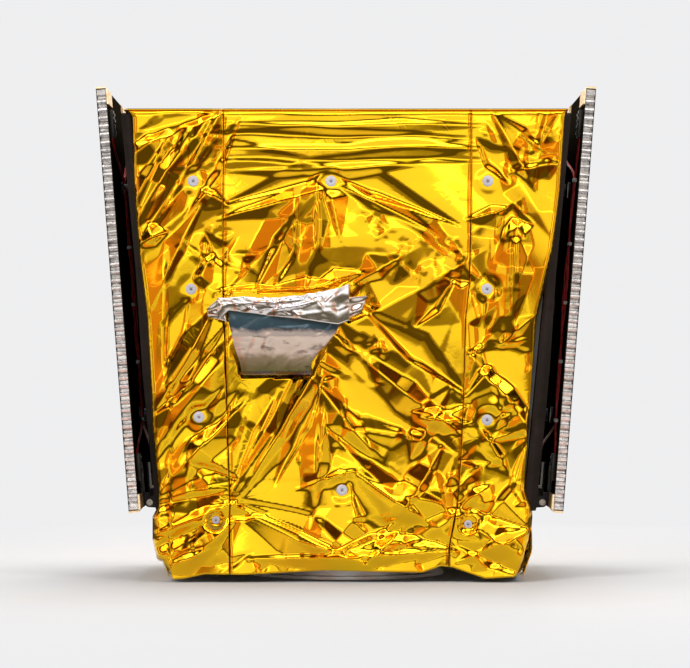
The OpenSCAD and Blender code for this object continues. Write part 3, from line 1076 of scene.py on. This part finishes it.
class SATELLITE_OT_sensor(bpy.types.Operator):
    """Make the silver-wrapped housing, its folded collar and its two ears."""

    bl_idname = "satellite.sensor"
    bl_label = "Sensor"

    def execute(self, context):
        self.housing()
        self.collar()
        return {"FINISHED"}

    def housing(self):
        """A film-wrapped scoop: full at the top, drawn in towards its lower edge."""
        bm = film_grid(0.36, 0.2, 0.0035)
        a, b = grid_places(bm)
        z = SENSOR_LOW.z + (SENSOR_HIGH.z - 0.024 - SENSOR_LOW.z) * b
        level, left, right = columns(HOUSING_SIDES)
        x_left, x_right = np.interp(z, level, left), np.interp(z, level, right)
        middle, half = (x_left + x_right) / 2, (x_right - x_left) / 2
        depth = np.interp(b, [0, 0.06, 0.3, 0.55, 1], [0.030, 0.041, 0.052, 0.068, 0.077])
        # the film runs from the wall at the left, round the front and back to the wall at the right
        turn, front_share = (a - 0.5) * 2, 0.66
        front = np.clip(np.abs(turn) / front_share, 0, 1)
        back = np.clip((np.abs(turn) - front_share) / (1 - front_share), 0, 1)
        x = middle + np.sign(turn) * half * (front * 0.97 + 0.03 * back)
        out = depth * (1 - back) - 0.004 * front**6 * (1 - back)
        folds = random_folds(91, 34, (180, 100), (150, 90), (40, 130), (14, 34), 2.0)
        ripple = crumple(a * 0.36, b * 0.2, folds) * (1 - back)
        out = np.maximum(out - 0.003 + ripple * np.clip(3 * b, 0, 1), 0.0005)
        y = FRONT_Y - np.minimum(out, 0.078)
        move_grid(bm, x, y, z)
        look_towards(bm, Vector((0, -1, 0)))
        piece = add_piece("sensor_film", bm, "sensor_film", "bus")
        thicken(piece, 0.001)
        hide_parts("sensor_housing")

    def collar(self):
        """Film gathered over the housing's upper edge and back to the wall, with an ear at each end."""
        edge_x, top_z, low_z = columns(COLLAR_EDGES)
        bm = film_grid(0.36, 0.13, 0.0028)
        a, b = grid_places(bm)
        turn, front_share = (a - 0.5) * 2, 0.8
        across = np.clip(turn / front_share, -1, 1)
        back = np.clip((np.abs(turn) - front_share) / (1 - front_share), 0, 1)
        middle, half = (edge_x[0] + edge_x[-1]) / 2, (edge_x[-1] - edge_x[0]) / 2
        x = middle + half * across
        top, low = np.interp(x, edge_x, top_z), np.interp(x, edge_x, low_z)
        # b runs from the wall, over the top and down the front
        over = np.clip(b / 0.5, 0, 1)
        down = np.clip((b - 0.5) / 0.5, 0, 1)
        folds = random_folds(95, 26, (140, 80), (150, 60), (70, 190), (18, 38), 4.0)
        folds += random_folds(96, 26, (200, 90), (90, 40), (24, 60), (9, 18), 1.6)
        folds += [[110, 85, -9, 210, 16, 5, 0.2], [150, 100, -14, 190, 14, 4, 0.3]]
        ripple = crumple((a - 0.1) * 0.35, b * 0.13, folds) * (1 - back)
        wall, stands_out = FRONT_Y - 0.003, 0.077
        y = wall - stands_out * np.minimum(over * 1.02, 1)
        y = y - 0.003 * np.sin(math.pi * down) - ripple * np.minimum(down * 3, 1) + 0.003 * down
        z = top - 0.004 * (1 - over) - (top - low) * down
        z = z + ripple * (1 - down) * np.minimum((1 - down) * over * 2, 1)
        y = np.maximum(y, CAD_BOX[0][1] - 0.008)
        y = y + (wall - y) * back
        x = x + np.sign(turn) * 0.005 * back
        move_grid(bm, x, y, z)
        for corners in COLLAR_EARS:
            self.ear(bm, [Vector(c) / 1000 for c in corners])
        look_towards(bm, Vector((0, -1, 1)))
        piece = add_piece("collar_film", bm, "silver_film", "bus")
        thicken(piece, 0.001)
        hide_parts("sensor_collar")

    def ear(self, bm, corners):
        """A flag of film between four corners: lower left, lower right, upper right, upper left."""
        made = bmesh.ops.create_grid(bm, x_segments=12, y_segments=12, size=0.5,
                                     matrix=Matrix.Translation((0.5, 0.5, 0)))
        lower_left, lower_right, upper_right, upper_left = corners
        for vertex in made["verts"]:
            s, t = vertex.co.x, vertex.co.y
            low, high = lower_left.lerp(lower_right, s), upper_left.lerp(upper_right, s)
            vertex.co = low.lerp(high, t)
            vertex.co.y -= 0.004 * math.sin(math.pi * s) * math.sin(2.2 * math.pi * t) - 0.003 * abs(s - 0.4)


# ---------- wings ----------


def wing_matrix(side):
    """The wing's own frame, X outwards through the panel and Z towards its free end, as a matrix."""
    hinge = HINGE["right_wing"]
    right = Matrix.Translation(hinge) @ Matrix.Rotation(wings().lean, 4, "Y")
    return right if side > 0 else Matrix.Scale(-1, 4, (1, 0, 0)) @ right


def set_in_wing(bm, side):
    bmesh.ops.transform(bm, matrix=wing_matrix(side), verts=bm.verts)
    if side < 0:
        bmesh.ops.reverse_faces(bm, faces=bm.faces)


# One rib of the core's cut edge: how far along it and how deep each corner lies.
RIB = [(0.04, 1), (0.15, 0.10), (0.34, 0.0), (0.54, 0.08), (0.66, 0.96), (0.86, 1.0)]


class SATELLITE_OT_cores(bpy.types.Operator):
    """Make the foil honeycomb cores, with their cells cut open along every edge."""

    bl_idname = "satellite.cores"
    bl_label = "Honeycomb cores"

    def execute(self, context):
        for side, word in ((-1, "left"), (1, "right")):
            bm = self.core(100 + side)
            set_in_wing(bm, side)
            bmesh.ops.recalc_face_normals(bm, faces=bm.faces)
            piece = add_piece(f"{word}_core_foil", bm, "honeycomb", f"{word}_wing", smooth=False)
            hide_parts(f"{word}_wing_core")
        return {"FINISHED"}

    def core(self, seed):
        """The core's outline in the panel's plane, corrugated all round, pushed through its thickness."""
        w = wings()
        rng = np.random.default_rng(seed)
        low, high = w.low, w.low + w.length
        corners = [(-WING_HALF_Y, low), (-WING_HALF_Y, high), (WING_HALF_Y, high), (WING_HALF_Y, low)]
        outline = []
        for (y0, z0), (y1, z1) in zip(corners, corners[1:] + corners[:1]):
            run = math.hypot(y1 - y0, z1 - z0)
            ribs = round(run / w.cell)
            along = Vector(((y1 - y0) / run, (z1 - z0) / run))
            inward = Vector((along.y, -along.x))
            for rib in range(ribs):
                crush = rng.uniform(0, 0.0018)
                shift = rng.uniform(-0.0007, 0.0007)
                for place, depth in RIB:
                    point = Vector((y0, z0)) + along * (run * (rib + place) / ribs + shift)
                    outline.append(point + inward * (crush + 0.0002 + depth * w.cell_depth))
        bm = bmesh.new()
        x0 = w.panel_x + w.skin
        verts = [bm.verts.new((x0, y, z)) for y, z in outline]
        face = bm.faces.new(verts)
        out = bmesh.ops.extrude_face_region(bm, geom=[face])
        moved = [e for e in out["geom"] if isinstance(e, bmesh.types.BMVert)]
        bmesh.ops.translate(bm, vec=(w.thickness - 2 * w.skin, 0, 0), verts=moved)
        return bm


class SATELLITE_OT_harness(bpy.types.Operator):
    """Make the red wires on the wings' inner faces, with their ties."""

    bl_idname = "satellite.harness"
    bl_label = "Wing wires"

    def execute(self, context):
        for side, word in ((-1, "left"), (1, "right")):
            self.wires(side, word)
        return {"FINISHED"}

    def wires(self, side, word):
        """Two branches from the free end's blocks meet at a tie, run down together and part again."""
        w = wings()
        bm = bmesh.new()
        ties = bmesh.new()
        rng = np.random.default_rng(40 + side)
        levels, spread = (0.10, 0.17, 0.66, 0.745), WING_HALF_Y - 0.042
        meet = 0.02 if side < 0 else -0.165
        for branch in (-1, 1):
            for wire in range(4):
                phase = rng.uniform(0, 6)
                points = []
                for i in range(71):
                    t = i / 70
                    z = levels[0] + (levels[3] - levels[0]) * t
                    part = np.interp(z, levels, (1, 0, 0, 1))
                    part = part * part * (3 - 2 * part)
                    wave = math.sin(math.pi * t) * (1 - part)
                    y = meet + (branch * spread - meet) * part + 0.0036 * (wire - 1.5)
                    y += 0.006 * branch * (1 - part)
                    y += 0.006 * wave * math.sin(9 * t + phase)
                    x = w.panel_x - 0.0026 - 0.001 * (wire % 2)
                    x -= 0.0022 * wave * (1 + math.sin(21 * t + phase))
                    points.append(Vector((x, y, z)))
                self.tube(bm, points, 0.0016)
        for z in (0.17, 0.29, 0.41, 0.53, 0.66):
            self.tie(ties, w.panel_x, meet, z)
        for made, name, kind in ((bm, f"{word}_wires", "red_wire"), (ties, f"{word}_wire_ties", "tie")):
            set_in_wing(made, side)
            bmesh.ops.recalc_face_normals(made, faces=made.faces)
            piece = add_piece(name, made, kind, f"{word}_wing")
            if kind == "red_wire":
                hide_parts(f"{word}_wing_harness")
        self.connectors(side, word)

    def connectors(self, side, word):
        """Dark connector bodies with a pale strip of pins, one at each end of each branch."""
        w = wings()
        bm = bmesh.new()
        for z in (0.076, 0.772):
            for y in (WING_HALF_Y - 0.042, 0.042 - WING_HALF_Y):
                self.block(bm, w.panel_x, y, z, (0.009, 0.022, 0.056), 0.0015)
                for step in (-1.5, -0.5, 0.5, 1.5):
                    self.block(bm, w.panel_x - 0.0085, y, z + 0.012 * step, (0.0025, 0.016, 0.007), 0.0006)
        set_in_wing(bm, side)
        bmesh.ops.recalc_face_normals(bm, faces=bm.faces)
        piece = add_piece(f"{word}_connectors", bm, "connector", f"{word}_wing")
        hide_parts(f"{word}_terminal_blocks")

    def block(self, bm, x, y, z, size, edge):
        place = Matrix.Translation((x - size[0] / 2, y, z)) @ Matrix.Diagonal((*size, 1))
        made = bmesh.ops.create_cube(bm, size=1.0, matrix=place)
        edges = {e for v in made["verts"] for e in v.link_edges}
        bmesh.ops.bevel(bm, geom=list(edges), offset=edge, segments=2, affect="EDGES", profile=0.5,
                        material=-1)

    def tube(self, bm, points, radius, sides=8):
        rings = []
        for i, point in enumerate(points):
            ahead = (points[min(i + 1, len(points) - 1)] - points[max(i - 1, 0)]).normalized()
            turn = Vector((0, 0, 1)).rotation_difference(ahead).to_matrix().to_4x4()
            made = bmesh.ops.create_circle(bm, segments=sides, radius=radius,
                                           matrix=Matrix.Translation(point) @ turn)
            rings.append(made["verts"])
        for a, b in zip(rings, rings[1:]):
            edges = [e for ring in (a, b) for e in {e for v in ring for e in v.link_edges}
                     if all(x in ring for x in e.verts)]
            bmesh.ops.bridge_loops(bm, edges=edges)
        for ring in (rings[0], rings[-1]):
            bmesh.ops.contextual_create(bm, geom=ring)

    def tie(self, bm, x, y, z):
        self.block(bm, x, y, z, (0.0075, 0.034, 0.007), 0.0012)


class SATELLITE_OT_cad_finishes(bpy.types.Operator):
    """Give every CAD piece that stays its finish."""

    bl_idname = "satellite.cad_finishes"
    bl_label = "Finishes of the plain pieces"

    def execute(self, context):
        slots = {s["node"]: s["material_slot"] for s in frame["record"]["subparts"]}
        for name, node in frame["nodes"].items():
            node.data.materials.clear()
            # hinge brackets and leaves get a near-black metal in place of their listed finish
            hinge = "hinge_bracket" in name or "leaves" in name
            node.data.materials.append(finish("dark_metal" if hinge else slots[name]))
        return {"FINISHED"}


# ---------- stage ----------


class SATELLITE_OT_stage(bpy.types.Operator):
    """Make the floor, the lamps, the reflector cards, the background and the camera."""

    bl_idname = "satellite.stage"
    bl_label = "Studio"

    def execute(self, context):
        self.camera(context)
        self.floor()
        self.background(context)
        self.lamps()
        self.cards()
        return {"FINISHED"}

    def camera(self, context):
        s = studio()
        data = bpy.data.cameras.new("camera")
        data.sensor_width = 36
        data.lens = 36 * s.distance / s.frame_width
        camera = bpy.data.objects.new("camera", data)
        place = Vector((0, FILM_Y - s.distance, s.height))
        aim = Vector((-0.002, FILM_Y, s.aim_height))
        camera.location = place
        camera.rotation_euler = (aim - place).to_track_quat("-Z", "Y").to_euler()
        context.scene.collection.objects.link(camera)
        context.scene.camera = camera

    def floor(self):
        bm = bmesh.new()
        bmesh.ops.create_grid(bm, x_segments=1, y_segments=1, size=14)
        floor = put_in_scene("floor", bm)
        tone = tuple(0.54 * c for c in studio().floor)
        s = Shader("floor", Base_Color=tone, Roughness=0.9, Specular_IOR_Level=0.1)
        floor.data.materials.append(s.material)
        self.fade_far(s)

    def fade_far(self, s):
        """The floor takes the background's tone away from the object, so that no horizon shows."""
        reach = s.math("DIVIDE", s.vector("LENGTH", s.place(), "Vector"), "Value", 4.0)
        far = s.ramp(reach, "Value", [(0.22, 0.0), (0.50, 1.0)])
        glow = s.node("ShaderNodeEmission", Color=tuple(studio().floor), Strength=1.0)
        mix = s.node("ShaderNodeMixShader")
        s.link(far, "Color", mix, "Fac")
        s.link(s.surface, "BSDF", mix, 1)
        s.link(glow, "Emission", mix, 2)
        s.link(mix, "Shader", s.nodes["Material Output"], "Surface")

    def background(self, context):
        """One tone for whatever is seen or mirrored, and a weaker one that lights the object."""
        world = bpy.data.worlds.new("world")
        context.scene.world = world
        world.use_nodes = True
        nodes, links = world.node_tree.nodes, world.node_tree.links
        shown, light = nodes["Background"], nodes.new("ShaderNodeBackground")
        for node, colour, strength in ((shown, studio().floor, 1.0), (light, (1, 0.985, 0.96), 0.55)):
            node.inputs["Color"].default_value = (*colour, 1)
            node.inputs["Strength"].default_value = strength
        path = nodes.new("ShaderNodeLightPath")
        seen = path.outputs["Is Camera Ray"]
        for ray in ("Is Glossy Ray", "Is Transmission Ray"):
            either = nodes.new("ShaderNodeMath")
            either.operation = "MAXIMUM"
            links.new(seen, either.inputs[0])
            links.new(path.outputs[ray], either.inputs[1])
            seen = either.outputs[0]
        mix = nodes.new("ShaderNodeMixShader")
        links.new(seen, mix.inputs["Fac"])
        links.new(light.outputs[0], mix.inputs[1])
        links.new(shown.outputs[0], mix.inputs[2])
        links.new(mix.outputs[0], nodes["World Output"].inputs["Surface"])

    def lamps(self):
        for name, place, size, power in (
            ("key", (-2.2, -3.4, 3.2), 1.4, 150),
            ("fill", (2.8, -3.0, 2.4), 1.2, 90),
            ("top", (0.0, 0.6, 3.6), 2.0, 110),
            ("back", (0.6, 3.6, 2.6), 1.6, 110),
        ):
            data = bpy.data.lights.new(name, "AREA")
            data.size = size
            data.energy = power
            lamp = bpy.data.objects.new(name, data)
            lamp.location = place
            lamp.visible_glossy = False
            aim = Vector((0, 0, 0.45)) - lamp.location
            lamp.rotation_euler = aim.to_track_quat("-Z", "Y").to_euler()
            bpy.context.scene.collection.objects.link(lamp)

    def cards(self):
        """A dome and a floor ring that only mirror-like surfaces see: bright towards the body's front and
        rear, warm towards its sides, dark low down and in a band under the high lamps."""
        bm = bmesh.new()
        bmesh.ops.create_uvsphere(bm, u_segments=64, v_segments=32, radius=12)
        s = self.card("studio_dome", bm)
        unit = s.vector("NORMALIZE", s.place(), "Vector")
        wavy = 0.14
        axes = s.axes(s.vector("ADD", s.push(unit, s.noise(unit, 2.6, 2.0), wavy), "Vector", -wavy / 2))
        side = s.ramp(s.math("ABSOLUTE", axes, "X"), "Value", [
            (0.0, (1.12, 1.11, 1.08)), (0.15, (1.12, 1.10, 1.05)), (0.23, (0.92, 0.84, 0.68)),
            (0.28, (0.36, 0.20, 0.11)), (0.34, (0.74, 0.35, 0.20)), (0.52, (0.60, 0.27, 0.16)),
            (0.59, (1.0, 0.95, 0.85)), (0.74, (0.95, 0.88, 0.75)), (0.82, (0.10, 0.07, 0.04)),
            (0.90, (0.60, 0.28, 0.16)), (1.0, (0.75, 0.70, 0.62))])
        up = s.ramp(axes, "Z", [
            (0.0, (0.95, 0.94, 0.90)), (0.145, (1.05, 1.05, 1.05)), (0.165, (2.6, 2.6, 2.6)),
            (0.185, (2.6, 2.6, 2.6)), (0.205, (1.02, 1.01, 1.0)), (0.28, (1.0, 0.99, 0.96)),
            (0.37, (0.88, 0.83, 0.74)), (0.46, (0.16, 0.13, 0.08)), (0.60, (0.10, 0.08, 0.05)),
            (0.68, (1.6, 1.6, 1.6)), (0.74, (5.5, 5.5, 5.5)), (0.80, (5.5, 5.5, 5.5)),
            (0.85, (1.1, 1.1, 1.1)), (1.0, (0.9, 0.9, 0.9))])
        s.link(s.mix(side, up), 2, s.surface, "Emission Color")

        bm = bmesh.new()
        verts = [bm.verts.new((r, 0, 0.004)) for r in (0.62, 11.8)]
        edge = bm.edges.new(verts)
        bmesh.ops.spin(bm, geom=verts + [edge], cent=(0, 0, 0), axis=(0, 0, 1), angle=2 * math.pi, steps=64,
                       use_merge=True)
        s = self.card("floor_ring", bm)
        reach = s.math("DIVIDE", s.vector("LENGTH", s.place(), "Vector"), "Value", 12.0)
        tone = s.ramp(reach, "Value", [
            (0.052, (0.95, 0.90, 0.80)), (0.074, (0.66, 0.58, 0.46)), (0.098, (0.11, 0.085, 0.05)),
            (0.20, (0.085, 0.065, 0.035)), (0.26, (0.30, 0.25, 0.16)), (0.46, (0.36, 0.30, 0.20)),
            (0.60, (0.62, 0.56, 0.44)), (0.74, (0.88, 0.84, 0.74)), (0.95, (0.98, 0.96, 0.90))])
        axes = s.axes(s.vector("NORMALIZE", s.place(), "Vector"))
        side = s.ramp(s.math("ABSOLUTE", axes, "X"), "Value", [
            (0.0, 1.0), (0.38, 1.0), (0.46, (0.95, 0.46, 0.27)), (0.66, (0.95, 0.46, 0.27)), (0.74, 1.0)])
        s.link(s.mix(tone, side), 2, s.surface, "Emission Color")

    def card(self, name, bm):
        """A card seen only in reflections; its emission colour is set by the caller."""
        card = put_in_scene(name, bm)
        s = Shader(name, Base_Color=(0, 0, 0), Roughness=1.0, Specular_IOR_Level=0.0, Emission_Strength=1.0)
        card.data.materials.append(s.material)
        card.visible_camera = False
        card.visible_diffuse = False
        card.visible_shadow = False
        card.visible_transmission = False
        return s


# ---------- panel and registration ----------

STEPS = [
    SATELLITE_OT_cad_finishes,
    SATELLITE_OT_face_blankets,
    SATELLITE_OT_other_blankets,
    SATELLITE_OT_buttons,
    SATELLITE_OT_sensor,
    SATELLITE_OT_cores,
    SATELLITE_OT_harness,
    SATELLITE_OT_stage,
]


class SATELLITE_PT_panel(bpy.types.Panel):
    """Lists the satellite's pieces."""

    bl_idname = "SATELLITE_PT_panel"
    bl_label = "Satellite"
    bl_space_type = "VIEW_3D"
    bl_region_type = "UI"
    bl_category = "Satellite"

    def draw(self, context):
        for step in STEPS:
            self.layout.operator(step.bl_idname)


CLASSES = [BlanketSettings, WingSettings, StageSettings, *STEPS, SATELLITE_PT_panel]


def register():
    for cls in CLASSES:
        bpy.utils.register_class(cls)
    bpy.types.Scene.satellite_blankets = bpy.props.PointerProperty(type=BlanketSettings)
    bpy.types.Scene.satellite_wings = bpy.props.PointerProperty(type=WingSettings)
    bpy.types.Scene.satellite_stage = bpy.props.PointerProperty(type=StageSettings)


def unregister():
    del bpy.types.Scene.satellite_stage
    del bpy.types.Scene.satellite_wings
    del bpy.types.Scene.satellite_blankets
    for cls in reversed(CLASSES):
        bpy.utils.unregister_class(cls)


def main():
    register()
    bpy.context.scene.view_settings.view_transform = "Standard"
    for step in STEPS:
        group, name = step.bl_idname.split(".")
        getattr(getattr(bpy.ops, group), name)()


if __name__ == "__main__":
    main()
